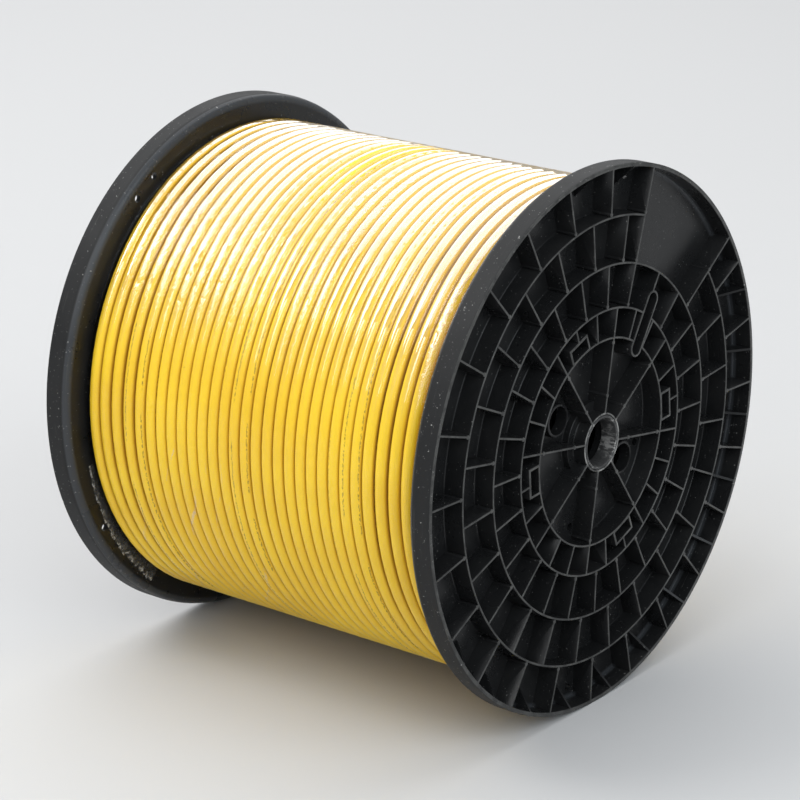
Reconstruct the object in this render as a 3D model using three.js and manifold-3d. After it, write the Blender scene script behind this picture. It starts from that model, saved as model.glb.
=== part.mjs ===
// A cable reel in moulded plastic, wound full of round cable and wrapped in clear film.
// Millimetres, +Z up. The origin is the middle of the reel on its own axis, which lies along Y.
// The reel stands on the rims of its two flanges. Both flanges come from one mould: the near one
// faces -Y, and the far one is the same part turned over, facing +Y.
//
// An angle on a flange is counted in degrees from +X towards +Z, seen from outside the near flange.
// In a flange's own frame its outer face is at y = 0 and its cable face at y = FLANGE_THICKNESS.
import * as THREE from "three";
import { mergeVertices } from "three/addons/utils/BufferGeometryUtils.js";
import Module from "manifold-3d";

// Overall
const FLANGE_RADIUS = 315;
const OVERALL_WIDTH = 552;
const GAP = 0.3; // between pieces that touch

// Flange
const FLANGE_THICKNESS = 30;
const PLATE_THICKNESS = 5.5;
const RIB_WALL = 2.8; // spokes, ribs, ring walls and gussets
const RIM_WALL = 4.7;
const RIM_ROUND = 9.5; // radius of the rim's edge on the cable side
const RING_RADII = [119, 153, 203, 257]; // middles of the four ring walls, from the inside
const HUB_WALL = 2.4;
const HUB_FOOT_REACH = 10.3; // how far the low step round the hub stands out from it
const HUB_FOOT_RISE = 8.7;
const HUB_SHOULDER = 1.5; // what the bush stops against
const GUSSET_REACH = 24; // how far a gusset runs in from the rim along the plate

// Pattern of the flange
const RIB_STEP = 15;
const RIB_COUNT = 360 / RIB_STEP;
const EVEN_START = 5.5; // first rib between rings 1 and 2, and between rings 3 and 4
const ODD_START = 13; // first rib between rings 2 and 3, and between ring 4 and the rim
const SPOKE_START = 35.5;
const SPOKE_COUNT = 8;
const PANEL_FROM = 35.5; // the smooth label panel, between two full-length ribs
const PANEL_TO = 73;
const MIRROR_ANGLE = 57.75; // the far flange is turned over about this line

// Holes of the flange
const DRIVE_HOLE_RADIUS = 16.5;
const DRIVE_HOLE_PLACE = 74.7; // from the axis
const DRIVE_HOLE_COLLAR = 3;
const DRIVE_HOLE_RISE = 8.7;
const DRIVE_HOLE_ANGLES = [148, 328];
const TIE_HOLE_RADIUS = 4.5;
const TIE_HOLE_INSET = 18; // from the rim's outside
const TIE_HOLE_ANGLES = [76.6, 265.5, 347, 353.8];
const PIN_HOLE_RADIUS = 4.5;
const PIN_HOLES = [[102.4, 256], [107, 342]]; // distance from the axis, angle

// Cable slot: a collar with round ends round a slot through the plate
const SLOT_INSET = 7; // from the barrel's outside in to its middle
const SLOT_ANGLE = 56.2; // its middle
const SLOT_DIRECTION = 58.2;
const SLOT_PITCH = 57.4; // between the middles of its round ends
const SLOT_SIDE_CLEARANCE = 0.6; // each side of the cable
const SLOT_WALL = 2.4;

// Arbor bush, pressed into the hub
const BORE_RADIUS = 28;
const BUSH_WALL = 3;
const BUSH_LENGTH = 20.5;

// Barrel: two half shells that clip into both flanges
const BARREL_RADIUS = 150;
const BARREL_WALL = 4.5;
const BARREL_LIP = 12; // how far the seam's lips reach in
const CLIP_SPREADS = [53.25, 126.5]; // each side of the mirror line, so both flanges suit
const CLIP_WIDTH = 24;
const CLIP_THICKNESS = 4;
const CLIP_INSET = 17; // from the barrel's outside to the clip's outside
const CLIP_NOSE = 4.5; // how far the nose reaches in
const CLIP_NOSE_HEIGHT = 4;
const CLIP_PAD_LENGTH = 20;
const CLIP_CLEARANCE = 1; // round a clip in its hole
const SOCKET_CLEARANCE = 4.2; // each side of a clip, inside its socket's walls
const SOCKET_REACH = 3.4; // from the clip's outside to the middle of the socket's outer wall

// Winding
const CABLE_DIAMETER = 15.6;
const RIM_MARGIN = 28; // least height of the rim above the cable
const GROOVE_DEPTH = 4; // between turns of the outer layer, as its solid shows it
const FILM_THICKNESS = 0.8;

const FLANGE_SIDES = 36;
const WINDING_SIDES = 24;
const HOLE_SIDES = 12;

// What follows from the sizes above
const windingWidth = OVERALL_WIDTH - 2 * FLANGE_THICKNESS;
const plateOuter = FLANGE_THICKNESS - PLATE_THICKNESS; // the plate's outer face
const hubRadius = BORE_RADIUS + BUSH_WALL + GAP + HUB_WALL;
const slotPlace = BARREL_RADIUS - SLOT_INSET;
const barrelLength = windingWidth - 2 * GAP;
const layerStep = (CABLE_DIAMETER * Math.sqrt(3)) / 2; // each layer lies in the grooves of the last
const layerRoom = FLANGE_RADIUS - RIM_MARGIN - BARREL_RADIUS - CABLE_DIAMETER;
const layerCount = 1 + Math.floor((layerRoom + GAP) / layerStep);
const turnCount = Math.floor(windingWidth / CABLE_DIAMETER - 0.5);
const clipOuter = BARREL_RADIUS - CLIP_INSET;
const clipInner = clipOuter - CLIP_THICKNESS;
const socketOuter = clipOuter + SOCKET_REACH;
const clipAngles = CLIP_SPREADS.flatMap((a) => [MIRROR_ANGLE - a, MIRROR_ANGLE + a]);
const [ring1, ring2, ring3, ring4] = RING_RADII;
const rimInner = FLANGE_RADIUS - RIM_WALL;

const wasm = await Module();
wasm.setup();

const radians = THREE.MathUtils.degToRad;

// A closed geometry as a solid that can be joined and cut
function solidOf(geometry) {
  geometry.deleteAttribute("normal");
  geometry.deleteAttribute("uv");
  const merged = mergeVertices(geometry, 1e-4);
  return new wasm.Manifold(
    new wasm.Mesh({
      numProp: 3,
      vertProperties: merged.attributes.position.array,
      triVerts: new Uint32Array(merged.index.array),
    }),
  );
}

function geometryOf(solid) {
  const mesh = solid.getMesh();
  const geometry = new THREE.BufferGeometry();
  geometry.setAttribute("position", new THREE.BufferAttribute(mesh.vertProperties, 3));
  geometry.setIndex(new THREE.BufferAttribute(mesh.triVerts, 1));
  return geometry;
}

const joined = (solids) => solids.reduce((whole, next) => whole.add(next));

// A closed profile of [radius, y] points turned about Y. The middle of one flat side lies at
// flatAngle, and the radii are those of the flats.
function turned(profile, sides, flatAngle) {
  const points = [...profile, profile[0]].map(([radius, y]) => new THREE.Vector2(radius, y));
  const half = Math.PI / sides;
  const geometry = new THREE.LatheGeometry(points, sides, Math.PI / 2 - radians(flatAngle) - half);
  const reach = 1 / Math.cos(half);
  return solidOf(geometry.scale(reach, 1, reach));
}

// The barrel and the winding share one set of flat sides, so that they nest
const wound = (profile) => turned(profile, WINDING_SIDES, MIRROR_ANGLE);

const ringProfile = (inner, outer, low, high) => [
  [inner, low],
  [outer, low],
  [outer, high],
  [inner, high],
];

// A box that lies along a radius: from inner to outer, from low to high along Y
function block(inner, outer, low, high, width, angle) {
  const geometry = new THREE.BoxGeometry(outer - inner, high - low, width);
  geometry.translate((inner + outer) / 2, (low + high) / 2, 0);
  return solidOf(geometry.rotateY(-radians(angle)));
}

// A round bar along Y at a distance from the axis
function bar(radius, low, high, place, angle) {
  const geometry = new THREE.CylinderGeometry(radius, radius, high - low, HOLE_SIDES);
  geometry.translate(place, (low + high) / 2, 0);
  return solidOf(geometry.rotateY(-radians(angle)));
}

// An outline in the radius-and-y plane given the thickness of a rib
function web(outline, angle) {
  const shape = new THREE.Shape(outline.map(([radius, y]) => new THREE.Vector2(radius, y)));
  const geometry = new THREE.ExtrudeGeometry(shape, { depth: RIB_WALL, bevelEnabled: false });
  geometry.translate(0, 0, -RIB_WALL / 2);
  return solidOf(geometry.rotateY(-radians(angle)));
}

// An outline in the X-Z plane raised from low to high along Y
function prism(shape, low, high) {
  const geometry = new THREE.ExtrudeGeometry(shape, {
    depth: high - low,
    bevelEnabled: false,
    curveSegments: HOLE_SIDES / 2,
  });
  return geometry.rotateX(Math.PI / 2).translate(0, high, 0);
}

// The cable slot's outline, of a half width, standing from low to high
function slotBar(halfWidth, low, high) {
  const shape = new THREE.Shape();
  shape.absarc(SLOT_PITCH / 2, 0, halfWidth, -Math.PI / 2, Math.PI / 2);
  shape.absarc(-SLOT_PITCH / 2, 0, halfWidth, Math.PI / 2, (3 * Math.PI) / 2);
  const geometry = prism(shape, low, high).rotateY(-radians(SLOT_DIRECTION));
  const place = radians(SLOT_ANGLE);
  geometry.translate(slotPlace * Math.cos(place), 0, slotPlace * Math.sin(place));
  return solidOf(geometry);
}

// The wedge of the label panel, outside ring 3
function panelWedge() {
  const far = 2 * FLANGE_RADIUS;
  const corner = (angle) =>
    new THREE.Vector2(far * Math.cos(radians(angle)), far * Math.sin(radians(angle)));
  const shape = new THREE.Shape([new THREE.Vector2(0, 0), corner(PANEL_FROM), corner(PANEL_TO)]);
  return solidOf(prism(shape, -1, FLANGE_THICKNESS));
}

const insidePanel = (angle) => angle > PANEL_FROM + 0.1 && angle < PANEL_TO - 0.1;

function angles(start, step, count) {
  return Array.from({ length: count }, (_, k) => (start + step * k) % 360);
}

// Hub, plate and rim in one profile
function flangeBody(footAngle) {
  const seat = BORE_RADIUS + BUSH_WALL + GAP;
  const shoulder = BORE_RADIUS + HUB_SHOULDER;
  const footRadius = hubRadius + HUB_FOOT_REACH;
  const footTop = plateOuter - HUB_FOOT_RISE;
  const cut = RIM_ROUND * (1 - Math.SQRT1_2);
  const profile = [
    [seat, 0],
    [hubRadius, 0],
    [hubRadius, footTop],
    [footRadius, footTop],
    [footRadius, plateOuter],
    [rimInner, plateOuter],
    [rimInner, 0],
    [FLANGE_RADIUS, 0],
    [FLANGE_RADIUS, FLANGE_THICKNESS - RIM_ROUND],
    [FLANGE_RADIUS - cut, FLANGE_THICKNESS - cut],
    [FLANGE_RADIUS - RIM_ROUND, FLANGE_THICKNESS],
    [shoulder, FLANGE_THICKNESS],
    [shoulder, BUSH_LENGTH + GAP],
    [seat, BUSH_LENGTH + GAP],
  ];
  return turned(profile, FLANGE_SIDES, footAngle);
}

function ringWall(radius, footAngle) {
  const half = RIB_WALL / 2;
  const profile = ringProfile(radius - half, radius + half, 0, plateOuter + 1);
  return turned(profile, FLANGE_SIDES, footAngle);
}

function rib(inner, outer, angle) {
  return block(inner, outer, 0, plateOuter + 1, RIB_WALL, angle);
}

function ribs() {
  const even = angles(EVEN_START, RIB_STEP, RIB_COUNT);
  const odd = angles(ODD_START, RIB_STEP, RIB_COUNT);
  const rim = FLANGE_RADIUS - RIM_WALL / 2;
  return [
    ...angles(SPOKE_START, 360 / SPOKE_COUNT, SPOKE_COUNT).map((a) => rib(hubRadius - 1, ring1, a)),
    ...even.map((a) => rib(ring1, ring2, a)),
    ...odd.map((a) => rib(ring2, ring3, a)),
    ...even.filter((a) => !insidePanel(a)).map((a) => rib(ring3, ring4, a)),
    ...odd.filter((a) => !insidePanel(a)).map((a) => rib(ring4, rim, a)),
    rib(ring4, rim, PANEL_FROM),
    rib(ring3, ring4, PANEL_TO),
  ];
}

// Three-cornered stiffeners between the rim and the plate
function gussets() {
  const top = FLANGE_RADIUS - RIM_WALL / 2;
  const outline = [
    [rimInner - GUSSET_REACH, plateOuter],
    [rimInner - GUSSET_REACH, plateOuter + 1],
    [top, plateOuter + 1],
    [top, 0],
    [rimInner, 0],
  ];
  const clear = (angle) => angle !== PANEL_FROM && !insidePanel(angle);
  return angles(EVEN_START, RIB_STEP, RIB_COUNT)
    .filter(clear)
    .map((angle) => web(outline, angle));
}

// A socket's walls stand round a clip, and the clip comes through a hole in its floor
const socketHalf = CLIP_WIDTH / 2 + SOCKET_CLEARANCE;

function socketBlock(angle) {
  const outer = socketOuter + RIB_WALL / 2;
  return block(ring1, outer, 0, plateOuter + 1, 2 * (socketHalf + RIB_WALL / 2), angle);
}

function socketRoom(angle) {
  const inner = ring1 + RIB_WALL / 2;
  const outer = socketOuter - RIB_WALL / 2;
  return block(inner, outer, -1, plateOuter, 2 * (socketHalf - RIB_WALL / 2), angle);
}

function clipHole(angle) {
  const width = CLIP_WIDTH + 2 * CLIP_CLEARANCE;
  const inner = clipInner - CLIP_CLEARANCE;
  const outer = clipOuter + CLIP_CLEARANCE;
  return block(inner, outer, plateOuter - 1, FLANGE_THICKNESS + 1, width, angle);
}

// A drive hole takes the pin that turns the reel
const driveCollar = (angle) =>
  bar(DRIVE_HOLE_RADIUS + DRIVE_HOLE_COLLAR, plateOuter - DRIVE_HOLE_RISE, plateOuter + 1,
    DRIVE_HOLE_PLACE, angle);

const plateHole = (radius, place, angle) => bar(radius, -1, FLANGE_THICKNESS + 1, place, angle);

// The moulded flange. footAngle is the angle of the flat side that it stands on.
function flange(footAngle) {
  const slotHalf = CABLE_DIAMETER / 2 + SLOT_SIDE_CLEARANCE;
  const brokenRing = ringWall(ring4, footAngle).subtract(panelWedge());
  const shape = joined([
    flangeBody(footAngle),
    ...[ring1, ring2, ring3].map((radius) => ringWall(radius, footAngle)),
    brokenRing,
    ...ribs(),
    ...gussets(),
    ...clipAngles.map(socketBlock),
    ...DRIVE_HOLE_ANGLES.map(driveCollar),
    slotBar(slotHalf + SLOT_WALL, 0, plateOuter + 1),
  ]);
  const holes = joined([
    ...clipAngles.map(socketRoom),
    ...clipAngles.map(clipHole),
    ...DRIVE_HOLE_ANGLES.map((angle) => plateHole(DRIVE_HOLE_RADIUS, DRIVE_HOLE_PLACE, angle)),
    ...TIE_HOLE_ANGLES.map((angle) =>
      plateHole(TIE_HOLE_RADIUS, FLANGE_RADIUS - TIE_HOLE_INSET, angle)),
    ...PIN_HOLES.map(([place, angle]) => plateHole(PIN_HOLE_RADIUS, place, angle)),
    slotBar(slotHalf, -1, FLANGE_THICKNESS + 1),
  ]);
  return shape.subtract(holes);
}

// The bush has the flange's flat sides, so that it fits the hub
function arborBush(footAngle) {
  const profile = ringProfile(BORE_RADIUS, BORE_RADIUS + BUSH_WALL, 0, BUSH_LENGTH);
  return turned(profile, FLANGE_SIDES, footAngle);
}

// One clip at the near end of the barrel, with the pad that joins it to the shell. Its nose
// catches the outside of the flange's plate.
function clip(angle) {
  const end = -barrelLength / 2;
  const plate = -OVERALL_WIDTH / 2 + plateOuter;
  const top = plate - GAP - CLIP_NOSE_HEIGHT;
  const arm = block(clipInner, clipOuter, top, end + CLIP_PAD_LENGTH, CLIP_WIDTH, angle);
  const nose = block(clipInner - CLIP_NOSE, clipInner + 1, top, plate - GAP, CLIP_WIDTH, angle);
  const shell = BARREL_RADIUS - BARREL_WALL / 2;
  const pad = block(clipInner, shell, end, end + CLIP_PAD_LENGTH, CLIP_WIDTH, angle);
  return joined([arm, nose, pad]);
}

// Half of the barrel, its middle at an angle. The seam's lips stand inside it.
function barrelHalf(middle) {
  const inner = BARREL_RADIUS - BARREL_WALL;
  const half = barrelLength / 2;
  const tube = wound(ringProfile(inner, BARREL_RADIUS, -half, half));
  const side = block(GAP / 2, 2 * BARREL_RADIUS, -OVERALL_WIDTH, OVERALL_WIDTH, 4 * BARREL_RADIUS,
    middle);
  const lips = [-1, 1].map((turn) => {
    const geometry = new THREE.BoxGeometry(BARREL_WALL, 2 * half, BARREL_LIP + BARREL_WALL / 2);
    geometry.translate(
      (GAP + BARREL_WALL) / 2,
      0,
      turn * (inner + BARREL_WALL / 2 - (BARREL_LIP + BARREL_WALL / 2) / 2),
    );
    return solidOf(geometry.rotateY(-radians(middle)));
  });
  const mine = clipAngles.filter((angle) => Math.cos(radians(angle - middle)) > 0);
  const near = mine.map(clip);
  const far = near.map((solid) => solid.mirror([0, 1, 0]));
  return joined([tube.intersect(side), ...lips, ...near, ...far]);
}

// A layer's inner and outer radius. Neighbouring layers meet half-way.
function layerLimits(layer) {
  const middle = BARREL_RADIUS + CABLE_DIAMETER / 2 + layerStep * layer;
  const first = layer === 0;
  const last = layer === layerCount - 1;
  return [
    middle - (first ? CABLE_DIAMETER : layerStep) / 2 + GAP / 2 + (first ? GAP / 2 : 0),
    middle + (last ? CABLE_DIAMETER / 2 : layerStep / 2 - GAP / 2),
  ];
}

// An inner layer is a plain sleeve, and the outer one shows its turns
function cableLayer(layer) {
  const [inner, outer] = layerLimits(layer);
  const half = windingWidth / 2 - GAP;
  if (layer < layerCount - 1) {
    return wound(ringProfile(inner, outer, -half, half));
  }
  const profile = [[inner, half], [inner, -half]];
  const pitch = (2 * half) / turnCount;
  for (let turn = 0; turn < turnCount; turn += 1) {
    profile.push([outer - GROOVE_DEPTH, -half + turn * pitch]);
    profile.push([outer, -half + (turn + 0.5) * pitch]);
  }
  profile.push([outer - GROOVE_DEPTH, half]);
  return wound(profile);
}

function filmWrap() {
  const inner = layerLimits(layerCount - 1)[1] + GAP;
  const half = windingWidth / 2 - GAP;
  return wound(ringProfile(inner, inner + FILM_THICKNESS, -half, half));
}

const blackPlastic = { color: 0x1d1e20, roughness: 0.5, metalness: 0 };
const greyPlastic = { color: 0x55565a, roughness: 0.6, metalness: 0 };
const yellowSheath = { color: 0xe8bf35, roughness: 0.4, metalness: 0 };
const clearFilm = { color: 0xf4f2e8, roughness: 0.1, metalness: 0, transparent: true, opacity: 0.3 };

function piece(name, solid, finish) {
  const mesh = new THREE.Mesh(geometryOf(solid), new THREE.MeshStandardMaterial(finish));
  mesh.name = name;
  return mesh;
}

const reel = new THREE.Group();

// What sits at one end, in the flange's own frame
function endGroup(side, footAngle) {
  const group = new THREE.Group();
  group.add(piece(`${side}_flange`, flange(footAngle), blackPlastic));
  group.add(piece(`${side}_arbor_bush`, arborBush(footAngle), greyPlastic));
  return group;
}

const nearEnd = endGroup("near", 270);
nearEnd.position.y = -OVERALL_WIDTH / 2;
reel.add(nearEnd);

const farEnd = endGroup("far", 2 * MIRROR_ANGLE - 270);
const turnOver = radians(MIRROR_ANGLE);
farEnd.setRotationFromAxisAngle(
  new THREE.Vector3(Math.cos(turnOver), 0, Math.sin(turnOver)),
  Math.PI,
);
farEnd.position.y = OVERALL_WIDTH / 2;
reel.add(farEnd);

reel.add(piece("barrel_half_left", barrelHalf(MIRROR_ANGLE + 90), blackPlastic));
reel.add(piece("barrel_half_right", barrelHalf(MIRROR_ANGLE - 90), blackPlastic));

for (let layer = 0; layer < layerCount; layer += 1) {
  const name = `cable_layer_${String(layer + 1).padStart(2, "0")}`;
  reel.add(piece(name, cableLayer(layer), yellowSheath));
}

reel.add(piece("film_wrap", filmWrap(), clearFilm));

export default reel;
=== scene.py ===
"""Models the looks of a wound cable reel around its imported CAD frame.

The reel's axis lies along Y and it stands on the rims of its two flanges. An angle on a flange is
counted in degrees from +X towards +Z, seen from outside the near flange, which faces -Y. In a
flange's own frame its outer face is at y = 0 and its cable face at y = FLANGE_THICKNESS.
"""

import math
import random

import bpy
from mathutils import Matrix, Vector


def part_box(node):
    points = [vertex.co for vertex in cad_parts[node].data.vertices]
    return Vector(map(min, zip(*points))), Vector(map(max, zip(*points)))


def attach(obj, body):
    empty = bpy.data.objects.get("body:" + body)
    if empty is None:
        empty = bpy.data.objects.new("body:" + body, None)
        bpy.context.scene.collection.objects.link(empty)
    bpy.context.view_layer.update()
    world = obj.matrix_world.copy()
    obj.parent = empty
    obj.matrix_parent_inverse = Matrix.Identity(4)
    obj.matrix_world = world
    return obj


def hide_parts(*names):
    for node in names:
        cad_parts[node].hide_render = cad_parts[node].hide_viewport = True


bl_info = {
    "name": "Wound Cable Reel",
    "version": (1, 0, 0),
    "blender": (4, 5, 0),
    "location": "3D View > Sidebar > Cable Reel",
    "description": "Models a moulded reel, its winding of cable and its film around a CAD frame",
    "category": "Add Mesh",
}

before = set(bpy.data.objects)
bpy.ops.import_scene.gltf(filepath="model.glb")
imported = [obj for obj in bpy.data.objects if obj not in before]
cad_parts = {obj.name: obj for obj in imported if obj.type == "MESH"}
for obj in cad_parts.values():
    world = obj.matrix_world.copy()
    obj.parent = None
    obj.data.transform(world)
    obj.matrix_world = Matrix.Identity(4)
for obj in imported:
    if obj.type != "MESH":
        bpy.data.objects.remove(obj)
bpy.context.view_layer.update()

MM = 0.001
ROOT = "root"

# Sizes that the frame gives
NEAR_LOW, NEAR_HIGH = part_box("near_flange")
FAR_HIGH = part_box("far_flange")[1]
LAYERS = sorted(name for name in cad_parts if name.startswith("cable_layer_"))
FLANGE_RADIUS = NEAR_HIGH.z
FLANGE_THICKNESS = NEAR_HIGH.y - NEAR_LOW.y
OUTER_FACE = FAR_HIGH.y
CABLE_FACE = OUTER_FACE - FLANGE_THICKNESS
BUSH_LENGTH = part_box("near_arbor_bush")[1].y - NEAR_LOW.y

# Pattern of a flange, in degrees
RIB_STEP = 15
RIB_COUNT = 24
EVEN_START = 5.5
ODD_START = 13
SPOKE_START = 35.5
SPOKE_COUNT = 8
PANEL = (35.5, 73)
MIRROR_ANGLE = 57.75
CLIP_SPREADS = (53.25, 126.5)
CLIP_ANGLES = [MIRROR_ANGLE + side * spread for spread in CLIP_SPREADS for side in (-1, 1)]
DRIVE_HOLE_ANGLES = (148, 328)
DRIVE_HOLE_PLACE = 74.7 * MM
TIE_HOLE_ANGLES = (76.6, 265.5, 347, 353.8)
TIE_HOLE_PLACE = FLANGE_RADIUS - 18 * MM
PIN_HOLES = ((102.4 * MM, 256), (107 * MM, 342))  # distance from the axis, angle
SMALL_HOLE_RADIUS = 4.5 * MM
COLLAR_HEIGHT = 8.7 * MM  # of the drive holes' collars and the hub's low step, above the plate
SPOKE_PILLARS = (53.5 * MM, 113.5 * MM)
GUSSET_LENGTH = 24 * MM
SLOT_MIDDLE = 143 * MM, 56.2  # distance from the axis, angle
SLOT_ALONG = 58.2
SLOT_STRAIGHT = 57.4 * MM
SLOT_HALF = 8.4 * MM
TURN_OVER = Matrix.Rotation(
    math.pi, 4, Vector((math.cos(math.radians(MIRROR_ANGLE)), 0, math.sin(math.radians(MIRROR_ANGLE))))
)

# Winding and film
WINDING_START = -60
PATTERN_RADIUS = 288 * MM
PATTERN_SEAM = 310
TORN_START = 193
TORN_SWEEP = 40

# Fineness of the meshes
RIM_STEPS = 192
INNER_LAYER_STEPS = 40
INNER_LAYER_SIDES = 10
OUTER_LAYER_STEPS = 96
OUTER_LAYER_SIDES = 20
FILM_STEPS = 240
FILM_STRIPS = 6


# ---------------------------------------------------------------- settings


def length(name, description, default):
    return bpy.props.FloatProperty(
        name=name, description=description, default=default, min=0.0, unit="LENGTH", precision=5
    )


def colour(name, description, default):
    return bpy.props.FloatVectorProperty(
        name=name, description=description, default=default, min=0, max=1, size=3, subtype="COLOR"
    )


class FlangeSizes(bpy.types.PropertyGroup):
    plate: length("Plate", "Thickness of the flange's plate", 5.5 * MM)
    rib: length("Rib", "Thickness of spokes, ribs, ring walls and gussets", 2.8 * MM)
    rim: length("Rim", "Thickness of the rim", 4.7 * MM)
    rim_round: length("Rim rounding", "Radius of the rim's edge on the cable side", 9.5 * MM)
    ring_1: length("Ring 1", "Radius of the first ring wall", 119 * MM)
    ring_2: length("Ring 2", "Radius of the second ring wall", 153 * MM)
    ring_3: length("Ring 3", "Radius of the third ring wall", 203 * MM)
    ring_4: length("Ring 4", "Radius of the fourth ring wall", 257 * MM)
    bore: length("Bore", "Radius of the bush's bore", 28 * MM)
    bush: length("Bush", "Wall of the bush", 3 * MM)
    hub: length("Hub", "Wall of the hub round the bush", 2.4 * MM)
    nub: length("Nub", "Radius of the small pillars on ribs and spokes", 2.5 * MM)
    edge: length("Edge", "Rounding of the ribs' edges", 0.45 * MM)
    plastic: colour("Plastic", "Colour of the flanges", (0.0105, 0.0108, 0.0112))


class WindingSizes(bpy.types.PropertyGroup):
    cable: length("Cable", "Diameter of the cable", 15.6 * MM)
    barrel: length("Barrel", "Radius of the barrel", 150 * MM)
    barrel_wall: length("Barrel wall", "Wall of the barrel", 4.5 * MM)
    turns: bpy.props.IntProperty(name="Turns", description="Turns in a layer", default=31, min=2)
    sheath: colour("Sheath", "Colour of the cable", (0.90, 0.60, 0.028))


class FilmSizes(bpy.types.PropertyGroup):
    thickness: length("Thickness", "Thickness of the wrapped film", 0.25 * MM)
    sag: length("Sag", "How far the film sinks between two turns", 2.6 * MM)
    crease: length("Crease", "Height of the film's creases", 1.1 * MM)


# ---------------------------------------------------------------- modelling


def deselect_all():
    if bpy.context.object and bpy.context.object.mode != "OBJECT":
        bpy.ops.object.mode_set(mode="OBJECT")
    bpy.ops.object.select_all(action="DESELECT")


def only(piece):
    """Makes a piece the one that the operators act on."""
    deselect_all()
    bpy.context.view_layer.objects.active = piece
    piece.select_set(True)
    return piece


def open_mesh(piece, action="SELECT"):
    """Enters edit mode on a piece, with all or nothing of it selected."""
    only(piece)
    bpy.ops.object.mode_set(mode="EDIT")
    bpy.ops.mesh.select_all(action=action)


def close_mesh():
    bpy.ops.object.mode_set(mode="OBJECT")


def arc(centre, radius, start, end, steps):
    """Points of an arc in the radius-and-y plane, its angles in degrees."""
    turns = [math.radians(start + (end - start) * k / steps) for k in range(steps + 1)]
    return [(centre[0] + radius * math.cos(t), centre[1] + radius * math.sin(t)) for t in turns]


def at(radius, angle, y=0.0):
    """A point at a distance from the axis and an angle on the flange."""
    return Vector((radius * math.cos(math.radians(angle)), y, radius * math.sin(math.radians(angle))))


def outwards(point):
    """The direction from the axis through a point."""
    return Vector((point.x, 0, point.z)).normalized()


def turn(angle):
    """The matrix that turns a piece lying along +X to an angle on the flange."""
    return Matrix.Rotation(-math.radians(angle), 4, "Y")


def face_outwards(piece):
    """Merges doubled points and turns every face outwards."""
    open_mesh(piece)
    bpy.ops.mesh.remove_doubles(threshold=1e-6)
    bpy.ops.mesh.normals_make_consistent(inside=False)
    close_mesh()
    return piece


def walled(piece, thickness, offset):
    """Gives a sheet its thickness, inwards at offset -1 and outwards at 1."""
    only(piece)
    wall = piece.modifiers.new("wall", "SOLIDIFY")
    wall.thickness = thickness
    wall.offset = offset
    bpy.ops.object.modifier_apply(modifier=wall.name)
    return piece


def store(piece, name, values):
    """Stores a value at each point of a piece, for its finish to read."""
    attribute = piece.data.attributes.new(name, "FLOAT", "POINT")
    attribute.data.foreach_set("value", values)


def outline_piece(name, outline, filled):
    """A ring of edges, or a filled face, through an outline's points in the X-Y plane."""
    deselect_all()
    bpy.ops.mesh.primitive_circle_add(vertices=len(outline), fill_type="NGON" if filled else "NOTHING")
    piece = bpy.context.object
    piece.name = piece.data.name = name
    for vertex, (radius, y) in zip(piece.data.vertices, outline):
        vertex.co = (radius, y, 0)
    return piece


def spun(name, outline, steps=RIM_STEPS, start=0.0, sweep=360.0):
    """A closed outline of (radius, y) points spun about the axis, from one angle through a sweep."""
    whole = sweep >= 360
    piece = outline_piece(name, outline, filled=not whole)
    piece.data.transform(turn(start))
    open_mesh(piece)
    bpy.ops.mesh.spin(steps=steps, angle=math.radians(sweep), center=(0, 0, 0), axis=(0, 1, 0))
    close_mesh()
    return face_outwards(piece)


def edges_at(piece, test):
    """Selects the edges whose two ends pass a test of their place, in edge mode."""
    only(piece)
    bpy.ops.object.mode_set(mode="EDIT")
    bpy.ops.mesh.select_mode(type="EDGE")
    bpy.ops.mesh.select_all(action="DESELECT")
    close_mesh()
    points = piece.data.vertices
    for edge in piece.data.edges:
        edge.select = all(test(points[k].co) for k in edge.vertices)


def bevelled(piece, test, width, segments=2):
    """Rounds the edges whose ends pass a test."""
    edges_at(piece, test)
    bpy.ops.object.mode_set(mode="EDIT")
    bpy.ops.mesh.bevel(offset=width, segments=segments, affect="EDGES")
    close_mesh()
    return piece


def block(name, radii, heights, width, angle=0.0, edge=0.0, draft=0.0):
    """A box along a radius. Its outer end along -Y gets rounded edges and may be drafted thinner."""
    inner, outer = radii
    low, high = heights
    deselect_all()
    bpy.ops.mesh.primitive_cube_add(size=1)
    piece = bpy.context.object
    piece.name = piece.data.name = name
    middle = Vector(((inner + outer) / 2, (low + high) / 2, 0))
    piece.data.transform(
        Matrix.Translation(middle) @ Matrix.Diagonal((outer - inner, high - low, width, 1))
    )
    for vertex in piece.data.vertices:
        if vertex.co.y < middle.y:
            vertex.co.z -= math.copysign(draft, vertex.co.z)
    if edge:
        bevelled(piece, lambda co: co.y < low + 1e-5, edge)
    piece.data.transform(turn(angle))
    return piece


def bar(name, radius, heights, place, angle=0.0, sides=24, edge=0.0):
    """A round bar along Y at a distance from the axis, its end along -Y rounded."""
    low, high = heights
    deselect_all()
    bpy.ops.mesh.primitive_cylinder_add(
        vertices=sides, radius=radius, depth=high - low, rotation=(math.pi / 2, 0, 0),
        location=(place, (low + high) / 2, 0),
    )
    piece = bpy.context.object
    piece.name = piece.data.name = name
    piece.data.transform(piece.matrix_world)
    piece.matrix_world = Matrix.Identity(4)
    if edge:
        bevelled(piece, lambda co: co.y < low + 1e-5, edge)
    piece.data.transform(turn(angle))
    return piece


def copied(piece, matrix):
    """A copy of a piece with its own mesh, moved by a matrix."""
    other = piece.copy()
    other.data = piece.data.copy()
    other.data.transform(matrix)
    bpy.context.scene.collection.objects.link(other)
    return other


def copies(piece, angles):
    """Copies of a piece modelled at angle 0. The first one goes."""
    made = [copied(piece, turn(angle)) for angle in angles]
    bpy.data.objects.remove(piece)
    return made


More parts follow.
